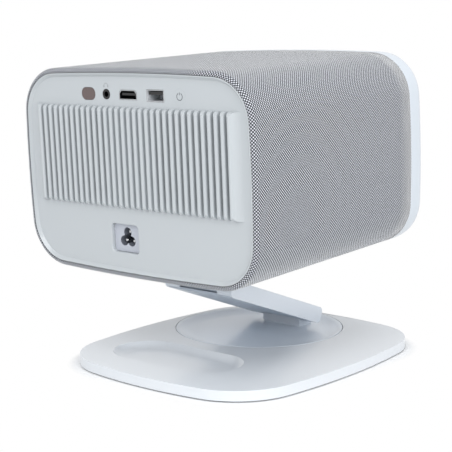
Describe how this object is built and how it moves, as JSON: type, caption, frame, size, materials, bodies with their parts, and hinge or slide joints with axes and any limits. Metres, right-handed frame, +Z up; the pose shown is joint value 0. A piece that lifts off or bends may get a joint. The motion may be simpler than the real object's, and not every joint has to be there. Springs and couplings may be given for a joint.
{
  "type": "projector with disc player",
  "caption": "Desk projector with a slot-loading disc player, ribbed rear cover and fabric sleeve, on a folding arm over a swivel base.",
  "frame": {"origin": "centre of the outer box, on the table", "axes": "+Z up, the lens looks along -Y, the sockets face +Y"},
  "size_m": [0.209, 0.2088, 0.2032],
  "materials": {
    "white_plastic": "satin",
    "bezel_plastic": "semi-gloss",
    "grey_plastic": "satin",
    "arm_underside": "satin",
    "grey_fabric": "woven",
    "dark_plastic": "matte",
    "black_plastic": "gloss",
    "board": "matte",
    "steel": "brushed",
    "plated_steel": "bright",
    "alloy": "raw",
    "painted_alloy": "satin",
    "soft_rubber": "matte",
    "lens_coating": "coated",
    "infrared_window": "translucent"
  },
  "bodies": {
    "base": {"base_shell": "white_plastic", "ballast_plate": "steel", "base_feet": "soft_rubber", "base_screws": "steel", "glide_ring": "white_plastic"},
    "turntable": {"turntable": "white_plastic", "pivot_retainer": "steel", "lower_bracket": "painted_alloy", "bracket_bolts": "steel"},
    "arm": {"arm_core": "alloy", "arm_shell": "white_plastic", "arm_cover": "arm_underside", "lower_pin": "steel", "upper_pin": "steel"},
    "head": {"head_bracket": "painted_alloy", "head_backing": "steel", "head_screws": "steel", "housing": "dark_plastic", "fabric_sleeve": "grey_fabric", "rear_cover": "grey_plastic", "front_bezel": "bezel_plastic", "front_window": "black_plastic", "lens_mount": "dark_plastic", "optical_engine": "dark_plastic", "heatsink": "alloy", "fan_frame": "dark_plastic", "frame_plate": "steel", "main_board": "board", "port_board": "board", "power_board": "board", "left_speaker": "dark_plastic", "right_speaker": "dark_plastic", "remote_window": "infrared_window", "headphone_jack": "black_plastic", "hdmi_port": "plated_steel", "usb_port": "plated_steel", "power_inlet": "grey_plastic", "inlet_pins": "plated_steel", "player_case": "steel", "player_lid": "steel", "spindle_motor": "steel", "guide_rods": "plated_steel"},
    "lens": {"lens_barrel": "dark_plastic", "lens_glass": "lens_coating"},
    "fan": {"fan_rotor": "dark_plastic"},
    "spindle": {"disc_spindle": "dark_plastic"},
    "pickup": {"pickup_sled": "dark_plastic"},
    "roller": {"feed_roller": "soft_rubber"},
    "power_key": {"power_button": "grey_plastic"},
    "eject_key": {"eject_button": "bezel_plastic"}
  },
  "joints": [
    {"name": "swivel", "type": "hinge", "parent": "base", "child": "turntable", "pos_m": [0.0054, -0.04218, 0.0074], "axis": [0, 0, 1], "continuous": true},
    {"name": "arm_hinge", "type": "hinge", "parent": "turntable", "child": "arm", "pos_m": [0.0054, -0.07208, 0.0146], "axis": [1, 0, 0], "range_deg": [-7.5, 35]},
    {"name": "tilt_hinge", "type": "hinge", "parent": "arm", "child": "head", "pos_m": [0.0054, 0.01755, 0.04758], "axis": [1, 0, 0], "range_deg": [-20, 14.5]},
    {"name": "focus", "type": "slide", "parent": "head", "child": "lens", "axis": [0, -0.999, 0.0454], "range_m": [-0.0015, 0.0015]},
    {"name": "fan_spin", "type": "hinge", "parent": "head", "child": "fan", "pos_m": [0.0574, 0.07555, 0.13899], "axis": [0, 0.999, -0.0454], "continuous": true},
    {"name": "disc_spin", "type": "hinge", "parent": "head", "child": "spindle", "pos_m": [0.0054, -0.0353, 0.0786], "axis": [0, 0.0454, 0.999], "continuous": true},
    {"name": "pickup_slide", "type": "slide", "parent": "head", "child": "pickup", "axis": [0, 0.999, -0.0454], "range_m": [0, 0.03]},
    {"name": "roller_spin", "type": "hinge", "parent": "head", "child": "roller", "pos_m": [0.0054, -0.09017, 0.0828], "axis": [1, 0, 0], "continuous": true},
    {"name": "power_press", "type": "slide", "parent": "head", "child": "power_key", "axis": [0, -0.999, 0.0454], "range_m": [0, 0.0006], "stiffness_N_per_m": 400, "springref_m": -0.0002},
    {"name": "eject_press", "type": "slide", "parent": "head", "child": "eject_key", "axis": [0, 0.999, -0.0454], "range_m": [0, 0.0006], "stiffness_N_per_m": 400, "springref_m": -0.0002}
  ]
}
